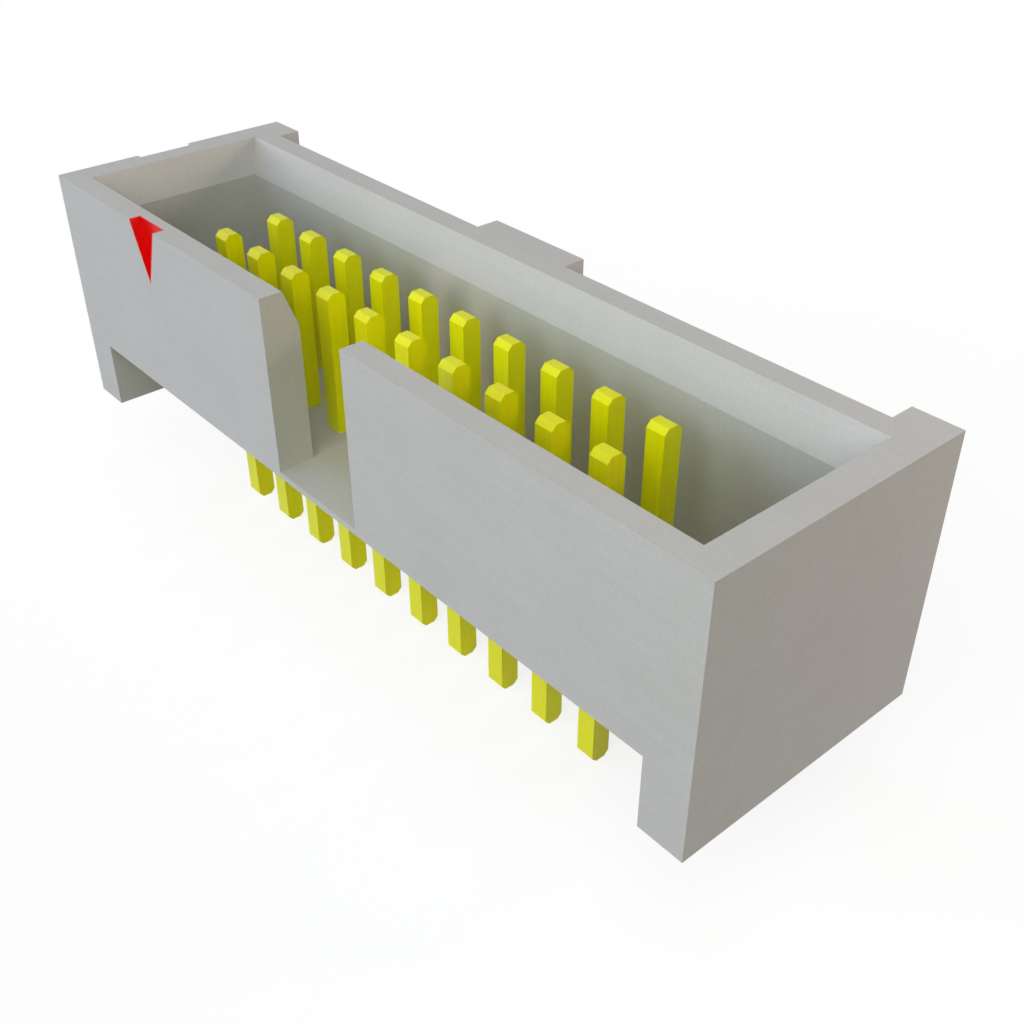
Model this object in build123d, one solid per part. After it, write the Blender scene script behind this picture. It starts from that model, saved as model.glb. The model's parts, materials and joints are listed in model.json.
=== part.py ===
from build123d import *
import math
import os

# Shrouded pin header: square pins in two rows, pressed through the floor of a moulded box.
# Millimetres. X runs along the rows, Y from the slotted front wall to the back wall, Z up.
# The origin is the centre of the pin grid, on the face of the circuit board that the feet stand on.

# Pin grid
pitch = 1.27                  # between pins along a row
row_spacing = 1.27            # between the two rows
pins_per_row = 10

# Pins
pin_width = 0.406             # square wire
mating_length = 3.048         # tip above the cavity floor
tail_length = 1.905           # tail below the board's face
tip_chamfer_width = 0.1       # flats at both ends of the wire, on its front and back only
tip_chamfer_height = 0.105

# Shroud
floor_height = 1.654          # cavity floor above the board
cavity_depth = 3.68           # cavity floor to the rim
end_space = 2.883             # centre of the last pin to the cavity's end wall
side_space = 1.132            # centre of a row to the cavity's side wall
side_wall = 0.773             # side walls below the lead-in
end_wall = 0.927              # end walls below the lead-in
wall_bottom_height = 1.517    # lower edges of the side walls above the board
lead_in_height = 0.752        # flare at the cavity's mouth
lead_in_side = 0.288          # how far the flare opens on the side walls
lead_in_end = 0.308           # how far it opens on the end walls

# Keying slot in the front wall, ribs on the back wall
slot_width = 2.525
rib_depth = 0.508             # corner ribs and key rib stand out this far from the back wall
key_rib_width = 2.54

# Feet, which carry on upwards as the corner ribs
foot_length = 0.943

# Base that grips the pins below the cavity floor, and stands clear of the board
base_board_gap = 0.254
base_ledge = 0.25             # from the walls' outer faces in to the base, at the walls' lower edges
base_margin = 0.825           # from a row's centre out to the base's lower edge

# Triangle at pin 1, pressed into the front wall and lined with a coat of paint
mark_width = 1.016
mark_height = 1.27
mark_depth = 0.224            # to the painted face
paint_thickness = 0.03

# Shallow recess in the pin 1 end, where the mould is filled
gate_width = 1.281
gate_depth = 0.134
gate_height = 1.27

# Places worked out from the sizes above
first_pin_x = -(pins_per_row - 1) * pitch / 2
row_y = row_spacing / 2
rim_height = floor_height + cavity_depth
lead_in_bottom = rim_height - lead_in_height
tip_height = floor_height + mating_length

cavity_half_x = -first_pin_x + end_space
cavity_half_y = row_y + side_space
outer_half_x = cavity_half_x + end_wall
outer_half_y = cavity_half_y + side_wall
foot_inner_x = outer_half_x - foot_length
back_face_y = outer_half_y + rib_depth


def block(x_low, x_high, y_low, y_high, z_low, z_high):
    """Rectangular block between two corners."""
    middle = ((x_low + x_high) / 2, (y_low + y_high) / 2, (z_low + z_high) / 2)
    return Pos(*middle) * Box(x_high - x_low, y_high - y_low, z_high - z_low)


def flared_block(half_x_low, half_y_low, z_low, half_x_high, half_y_high, z_high):
    """Block whose level sections go straight from one centred rectangle to another."""

    def profile(half_low, half_high):
        corners = [(-half_low, z_low), (half_low, z_low), (half_high, z_high), (-half_high, z_high)]
        return Polygon(*corners, align=None)

    seen_from_front = extrude(Plane.XZ * profile(half_x_low, half_x_high),
                              amount=max(half_y_low, half_y_high), both=True)
    seen_from_end = extrude(Plane.YZ * profile(half_y_low, half_y_high),
                            amount=max(half_x_low, half_x_high), both=True)
    return seen_from_front & seen_from_end


def pin_places():
    """Number and place of each pin: odd numbers in the front row, even ones in the back row."""
    for column in range(pins_per_row):
        x = first_pin_x + column * pitch
        yield 2 * column + 1, x, -row_y
        yield 2 * column + 2, x, row_y


def pin(x, y):
    """Square wire from tail to tip, its two ends chamfered at the front and the back."""
    half = pin_width / 2
    flat = half - tip_chamfer_width
    upper = [(half, tip_height - tip_chamfer_height), (flat, tip_height),
             (-flat, tip_height), (-half, tip_height - tip_chamfer_height)]
    lower = [(-half, tip_chamfer_height - tail_length), (-flat, -tail_length),
             (flat, -tail_length), (half, tip_chamfer_height - tail_length)]
    side = Plane.YZ * Polygon(*upper, *lower, align=None)
    return Pos(x, y, 0) * extrude(side, amount=half, both=True)


def triangle_recess(inset):
    """Triangular prism at pin 1, sunk from the front face and open at the rim.

    The inset moves its two slanting sides and its back inwards by the same distance.
    """
    half_angle = math.atan2(mark_width / 2, mark_height)
    half_width = mark_width / 2 - inset / math.cos(half_angle)
    apex_height = rim_height - mark_height + inset / math.sin(half_angle)
    outline = Polygon((-half_width, rim_height), (0, apex_height), (half_width, rim_height), align=None)
    front = Plane(origin=(first_pin_x, -outer_half_y, 0), x_dir=(1, 0, 0), z_dir=(0, -1, 0))
    return extrude(front * outline, amount=-(mark_depth + paint_thickness - inset))


def mark_coat():
    """Coat of paint on the back and the two slanting sides of the triangular recess."""
    return triangle_recess(0) - triangle_recess(paint_thickness)


def walls():
    """Outer body: box of walls, with feet and corner ribs at the ends and the key rib behind."""
    shroud = block(-outer_half_x, outer_half_x, -outer_half_y, outer_half_y, wall_bottom_height, rim_height)
    left_end = block(-outer_half_x, -foot_inner_x, -outer_half_y, back_face_y, 0, rim_height)
    right_end = block(foot_inner_x, outer_half_x, -outer_half_y, back_face_y, 0, rim_height)
    key_rib = block(-key_rib_width / 2, key_rib_width / 2, outer_half_y, back_face_y,
                    wall_bottom_height, rim_height)
    return shroud + left_end + right_end + key_rib


def base():
    """Block between the feet that narrows downwards and grips the pins."""
    return flared_block(foot_inner_x, row_y + base_margin, base_board_gap,
                        foot_inner_x, outer_half_y - base_ledge, wall_bottom_height)


def cavity():
    """Room for the mating plug: straight below, flared at the mouth."""
    lower = block(-cavity_half_x, cavity_half_x, -cavity_half_y, cavity_half_y, floor_height, lead_in_bottom)
    mouth = flared_block(cavity_half_x, cavity_half_y, lead_in_bottom,
                         cavity_half_x + lead_in_end, cavity_half_y + lead_in_side, rim_height)
    return lower + mouth


def keying_slot():
    """Slot through the front wall into the cavity, from the floor up through the rim."""
    return block(-slot_width / 2, slot_width / 2, -outer_half_y, 0, floor_height, rim_height)


def gate_recess():
    """Shallow recess in the end face nearest to pin 1, open at the rim."""
    return block(-outer_half_x, -outer_half_x + gate_depth, -gate_width / 2, gate_width / 2,
                 rim_height - gate_height, rim_height)


def pin_hole(x, y):
    """Square hole through the floor and the base, line to line with its pin."""
    half = pin_width / 2
    return block(x - half, x + half, y - half, y + half, base_board_gap, floor_height)


def housing():
    """The whole moulding."""
    body = walls() + base() - cavity() - keying_slot() - gate_recess() - triangle_recess(0)
    for _, x, y in pin_places():
        body -= pin_hole(x, y)
    return body


nodes = {"housing": housing(), "pin_1_mark": mark_coat()}
for number, pin_x, pin_y in pin_places():
    nodes[f"pin_{number:02d}"] = pin(pin_x, pin_y)

os.makedirs("parts", exist_ok=True)
for name, shape in nodes.items():
    export_step(shape, f"parts/{name}.step")
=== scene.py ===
import json
import math

import bpy
import numpy as np
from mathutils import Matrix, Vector


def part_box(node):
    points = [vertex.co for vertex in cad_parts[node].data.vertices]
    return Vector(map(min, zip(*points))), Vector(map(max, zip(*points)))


# Shrouded pin header, dressed for its picture. Metres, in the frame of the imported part:
# X along the pin rows, Y from the slotted front wall to the back wall, Z up, the board's face at zero.

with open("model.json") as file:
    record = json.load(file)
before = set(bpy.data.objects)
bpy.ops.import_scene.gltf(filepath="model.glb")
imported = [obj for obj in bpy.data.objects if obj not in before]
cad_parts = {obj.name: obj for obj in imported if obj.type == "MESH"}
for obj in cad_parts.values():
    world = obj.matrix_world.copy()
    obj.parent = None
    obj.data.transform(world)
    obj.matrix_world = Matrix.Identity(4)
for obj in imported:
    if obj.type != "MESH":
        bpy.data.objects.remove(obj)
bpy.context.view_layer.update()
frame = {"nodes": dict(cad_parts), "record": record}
nodes = frame["nodes"]

MM = 0.001
MICROMETRE = 0.001 * MM

# Camera
CAMERA_PLACE = (17.241, -12.590, 15.1055)      # mm
CAMERA_TILT = 54.993                           # degrees up from straight down
CAMERA_TURN = 49.093                           # degrees from looking along +Y
CAMERA_LENS = 44.265                           # mm, on a sensor of the next width
CAMERA_SENSOR = 36
CAMERA_RANGE = (1, 10000)                      # mm, nearest and farthest thing that it shows

# Soft round lamps that face the middle of the object. Azimuth 0 lights the front, 90 the +X end, 180 the back.
# Each has azimuth and elevation in degrees, distance and width in mm, and its light as a colour:
# the brightness of a white sheet in the object's place that faces the lamp.
LAMPS = {
    "key": (325, 18, 110, 70, (0.24, 0.31, 0.4)),
    "right_front": (38, 39, 48, 55, (0.67, 0.69, 0.58)),
    "low_front": (10, 9, 120, 20, (0.12, 0.09, 0.09)),
    "warm_corner": (125.5, 18.8, 28, 3, (0.12, 0.085, 0.065)),
    "back_right": (165, 15, 60, 26, (0.33, 0.28, 0.24)),
    "back_left": (190, 8, 100, 30, (0.16, 0.17, 0.19)),
    "left": (285, 12, 100, 30, (0.22, 0.2, 0.17)),
    "top": (250, 85, 75, 36, (0.11, 0.105, 0.13)),
}
LAMP_TARGET = (0, 0, 2.5)                      # mm
AMBIENT = (0.1, 0.1, 0.1)                      # even light from all around
WHITE = (1, 1, 1)

# Floor
FLOOR_COLOR = 0.25                             # what the floor throws back of the light on it
FLOOR_REACH = 400                              # mm from its middle to its edges
FLOOR_STEPS = 60                               # squares from the middle to an edge, small ones first
FLOOR_CROWDING = 4.0                           # how much smaller the squares are in the middle
DISC_RINGS = 4                                 # points on a lamp's disc, for its light on the floor
DISC_SPOKES = 12

# Surfaces
SPECULAR_LEVEL = 0.25                          # weak gloss, the same on plastic, plating and paint
NOISE_MIDDLE = (0.3, 0.7)                      # most of a noise's values lie between these


def link(tree, source, target):
    tree.links.new(source, target)


def add_node(tree, kind, **settings):
    """New node of a kind. A setting is an input socket's value if the node has such a socket."""
    node = tree.nodes.new(kind)
    for name, value in settings.items():
        if name in node.inputs:
            node.inputs[name].default_value = value
        else:
            setattr(node, name, value)
    return node


def color_sockets(sockets):
    """The colour sockets among a mix node's inputs or outputs."""
    return [socket for socket in sockets if socket.type == "RGBA"]


def new_material(name):
    """Material, its node tree, and its shader, which is already joined to the output."""
    made = bpy.data.materials.new(name)
    made.use_nodes = True
    tree = made.node_tree
    shader = tree.nodes["Principled BSDF"]
    shader.inputs["Specular IOR Level"].default_value = SPECULAR_LEVEL
    return made, tree, shader


def grain(tree, size_mm, detail, shift=0.0):
    """Noise from 0 to 1 whose features have the given sizes along X, Y and Z."""
    place = add_node(tree, "ShaderNodeTexCoord")
    scaled = add_node(tree, "ShaderNodeMapping", Scale=[1 / (size * MM) for size in size_mm],
                      Location=(shift, shift, shift))
    noise = add_node(tree, "ShaderNodeTexNoise", Scale=1.0, Detail=detail)
    link(tree, place.outputs["Object"], scaled.inputs["Vector"])
    link(tree, scaled.outputs["Vector"], noise.inputs["Vector"])
    return noise.outputs["Fac"]


def spread(tree, source, low, high):
    """The middle of a noise's range, stretched to run from low to high."""
    ranged = tree.nodes.new("ShaderNodeMapRange")
    link(tree, source, ranged.inputs["Value"])
    for name, value in zip(("From Min", "From Max", "To Min", "To Max"), (*NOISE_MIDDLE, low, high)):
        ranged.inputs[name].default_value = value
    return ranged.outputs["Result"]


def blend_colors(tree, source, low, high):
    """Colour that goes from low to high as the noise does."""
    mix = add_node(tree, "ShaderNodeMix", data_type="RGBA")
    link(tree, spread(tree, source, 0, 1), mix.inputs["Factor"])
    for socket, color in zip(color_sockets(mix.inputs), (low, high)):
        socket.default_value = (*color, 1)
    return color_sockets(mix.outputs)[0]


def tint(tree, color, source, low, high):
    """Colour made darker or lighter by a noise."""
    mix = add_node(tree, "ShaderNodeMix", data_type="RGBA", blend_type="MULTIPLY")
    mix.inputs["Factor"].default_value = 1
    grey = add_node(tree, "ShaderNodeCombineColor")
    level = spread(tree, source, low, high)
    for channel in ("Red", "Green", "Blue"):
        link(tree, level, grey.inputs[channel])
    for socket, factor in zip(color_sockets(mix.inputs), (color, grey.outputs["Color"])):
        link(tree, factor, socket)
    return color_sockets(mix.outputs)[0]


def add_relief(tree, shader, layers):
    """Bumps on a shader: each layer is a noise and its height in micrometres."""
    normal = None
    for source, height in layers:
        bump = add_node(tree, "ShaderNodeBump", Strength=1.0, Distance=height * MICROMETRE)
        link(tree, source, bump.inputs["Height"])
        if normal:
            link(tree, normal, bump.inputs["Normal"])
        normal = bump.outputs["Normal"]
    link(tree, normal, shader.inputs["Normal"])


def moulded_plastic():
    """Pale grey glass-filled plastic: fine mould texture, with faint streaks along the flow."""
    made, tree, shader = new_material("moulded_plastic")
    mottle = grain(tree, (1.6, 1.2, 1.2), detail=3)
    streaks = grain(tree, (2.4, 0.14, 0.14), detail=3, shift=7)
    texture = grain(tree, (0.055, 0.055, 0.055), detail=3)
    color = blend_colors(tree, mottle, (0.49, 0.49, 0.486), (0.51, 0.51, 0.51))
    color = tint(tree, color, streaks, 0.98, 1.02)
    color = tint(tree, color, texture, 0.96, 1.04)
    link(tree, color, shader.inputs["Base Color"])
    link(tree, spread(tree, texture, 0.33, 0.41), shader.inputs["Roughness"])
    add_relief(tree, shader, [(texture, 0.9), (streaks, 0.5)])
    return made


def drawn_plating():
    """Lemon-yellow plated wire with fine marks along its length."""
    made, tree, shader = new_material("drawn_plating")
    piece = grain(tree, (0.9, 0.9, 9.0), detail=1, shift=3)
    scratches = grain(tree, (0.03, 0.03, 1.2), detail=3)
    pits = grain(tree, (0.06, 0.06, 0.09), detail=2)
    color = blend_colors(tree, piece, (0.85, 0.85, 0.001), (0.875, 0.875, 0.003))
    color = tint(tree, color, scratches, 0.965, 1.035)
    color = tint(tree, color, pits, 0.98, 1.02)
    link(tree, color, shader.inputs["Base Color"])
    link(tree, spread(tree, scratches, 0.3, 0.38), shader.inputs["Roughness"])
    add_relief(tree, shader, [(scratches, 0.2), (pits, 0.2)])
    return made


def marking_paint():
    """Red paint with a slight orange-peel surface."""
    made, tree, shader = new_material("marking_paint")
    coat = grain(tree, (0.3, 0.3, 0.3), detail=2)
    peel = grain(tree, (0.11, 0.11, 0.11), detail=1)
    color = blend_colors(tree, coat, (0.75, 0.001, 0.001), (0.78, 0.002, 0.002))
    color = tint(tree, color, peel, 0.97, 1.03)
    link(tree, color, shader.inputs["Base Color"])
    link(tree, spread(tree, peel, 0.3, 0.38), shader.inputs["Roughness"])
    add_relief(tree, shader, [(peel, 0.2)])
    return made


def seen_directly(tree):
    """One for a ray from the camera, or a mirrored or refracted one, and nought for light on the object."""
    path = add_node(tree, "ShaderNodeLightPath")
    seen = path.outputs["Is Camera Ray"]
    for other in ("Is Glossy Ray", "Is Transmission Ray"):
        either = add_node(tree, "ShaderNodeMath", operation="MAXIMUM")
        link(tree, seen, either.inputs[0])
        link(tree, path.outputs[other], either.inputs[1])
        seen = either.outputs["Value"]
    return seen


def light_direction(azimuth, elevation):
    """Unit vector towards a lamp."""
    turn, rise = math.radians(azimuth), math.radians(elevation)
    return Vector((math.sin(turn) * math.cos(rise), -math.cos(turn) * math.cos(rise), math.sin(rise)))


def lamp_place(azimuth, elevation, distance):
    """Middle of a lamp's disc."""
    return (Vector(LAMP_TARGET) + light_direction(azimuth, elevation) * distance) * MM


def add_lamp(name, azimuth, elevation, distance, width, light):
    """Round area lamp that gives a white sheet at the target the brightness and colour of its light."""
    strength = max(light)
    data = bpy.data.lights.new(name, "AREA")
    data.shape = "DISK"
    data.size = width * MM
    data.energy = strength * (math.pi * distance * MM) ** 2
    data.color = [part / strength for part in light]
    lamp = bpy.data.objects.new(name, data)
    towards_lamp = light_direction(azimuth, elevation)
    lamp.location = lamp_place(azimuth, elevation, distance)
    lamp.rotation_euler = towards_lamp.to_track_quat("Z", "Y").to_euler()
    lamp.visible_camera = False
    bpy.context.scene.collection.objects.link(lamp)


def add_world():
    """Even dim light on the object, and a white background behind it."""
    world = bpy.data.worlds.new("studio")
    bpy.context.scene.world = world
    world.use_nodes = True
    tree = world.node_tree
    ambient = tree.nodes["Background"]
    ambient.inputs["Color"].default_value = (*AMBIENT, 1)
    backdrop = add_node(tree, "ShaderNodeBackground", Color=(*WHITE, 1), Strength=1.0)
    mix = add_node(tree, "ShaderNodeMixShader")
    link(tree, seen_directly(tree), mix.inputs["Fac"])
    link(tree, ambient.outputs["Background"], mix.inputs[1])
    link(tree, backdrop.outputs["Background"], mix.inputs[2])
    link(tree, mix.outputs["Shader"], tree.nodes["World Output"].inputs["Surface"])


def light_on_floor(points):
    """Colour that a white sheet has at points of an open floor: the lamps' light, and the even light."""
    total = np.tile(np.array(AMBIENT), (len(points), 1))
    for azimuth, elevation, distance, width, light in LAMPS.values():
        facing = light_direction(azimuth, elevation)
        turn = facing.to_track_quat("Z", "Y")
        received = np.zeros(len(points))
        for ring in range(DISC_RINGS):
            radius = width * MM / 2 * math.sqrt((ring + 0.5) / DISC_RINGS)
            for spoke in range(DISC_SPOKES):
                angle = 2 * math.pi * spoke / DISC_SPOKES
                on_disc = turn @ Vector((radius * math.cos(angle), radius * math.sin(angle), 0))
                path = np.array(lamp_place(azimuth, elevation, distance) + on_disc) - points
                length = np.linalg.norm(path, axis=1)
                cosines = np.maximum(path @ np.array(facing), 0) * np.maximum(path[:, 2], 0) / length ** 2
                received += cosines * (distance * MM / length) ** 2
        total += received[:, None] / (DISC_RINGS * DISC_SPOKES) * np.array(light)
    return total


def floor_mesh(height):
    """Square grid whose points carry the glow that the floor needs there to look white."""
    along = np.linspace(-1, 1, 2 * FLOOR_STEPS + 1)
    along = FLOOR_REACH * MM * np.sinh(FLOOR_CROWDING * along) / math.sinh(FLOOR_CROWDING)
    x, y = np.meshgrid(along, along, indexing="ij")
    points = np.stack([x, y, np.full_like(x, height)], axis=-1).reshape(-1, 3)
    side = len(along)
    faces = [(i * side + j, (i + 1) * side + j, (i + 1) * side + j + 1, i * side + j + 1)
             for i in range(side - 1) for j in range(side - 1)]
    mesh = bpy.data.meshes.new("floor")
    mesh.from_pydata(points, [], faces)
    glow = np.ones((len(points), 4))
    glow[:, :3] = np.maximum(np.array(WHITE) - FLOOR_COLOR * light_on_floor(points), 0)
    mesh.color_attributes.new("glow", "FLOAT_COLOR", "POINT").data.foreach_set("color", glow.ravel())
    return mesh


def pale_floor():
    """Matt surface with the glow of the mesh's points, which adds no light to the object."""
    made = bpy.data.materials.new("pale_floor")
    made.use_nodes = True
    tree = made.node_tree
    tree.nodes.remove(tree.nodes["Principled BSDF"])
    matt = add_node(tree, "ShaderNodeBsdfDiffuse", Color=(FLOOR_COLOR, FLOOR_COLOR, FLOOR_COLOR, 1))
    glow_color = add_node(tree, "ShaderNodeAttribute", attribute_name="glow")
    glow = add_node(tree, "ShaderNodeEmission")
    link(tree, glow_color.outputs["Color"], glow.inputs["Color"])
    link(tree, seen_directly(tree), glow.inputs["Strength"])
    both = add_node(tree, "ShaderNodeAddShader")
    link(tree, matt.outputs["BSDF"], both.inputs[0])
    link(tree, glow.outputs["Emission"], both.inputs[1])
    link(tree, both.outputs["Shader"], tree.nodes["Material Output"].inputs["Surface"])
    return made


def add_floor(height):
    """Pale floor that looks white where no shadow of the object lies on it."""
    mesh = floor_mesh(height)
    mesh.materials.append(pale_floor())
    floor = bpy.data.objects.new("floor", mesh)
    bpy.context.scene.collection.objects.link(floor)


def add_camera():
    """Camera at the photo's place and angle."""
    data = bpy.data.cameras.new("camera")
    data.lens = CAMERA_LENS
    data.sensor_width = CAMERA_SENSOR
    data.clip_start, data.clip_end = [distance * MM for distance in CAMERA_RANGE]
    camera = bpy.data.objects.new("camera", data)
    camera.location = [part * MM for part in CAMERA_PLACE]
    camera.rotation_euler = (math.radians(CAMERA_TILT), 0, math.radians(CAMERA_TURN))
    bpy.context.scene.collection.objects.link(camera)
    bpy.context.scene.camera = camera


finishes = {
    "housing_plastic": moulded_plastic(),
    "pin_plating": drawn_plating(),
    "mark_paint": marking_paint(),
}
for subpart in frame["record"]["subparts"]:
    nodes[subpart["node"]].material_slots[0].material = finishes[subpart["material_slot"]]

add_camera()
add_world()
for lamp_name, lamp in LAMPS.items():
    add_lamp(lamp_name, *lamp)
tail_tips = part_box("pin_01")[0].z
add_floor(tail_tips)

bpy.context.scene.view_settings.view_transform = "Standard"
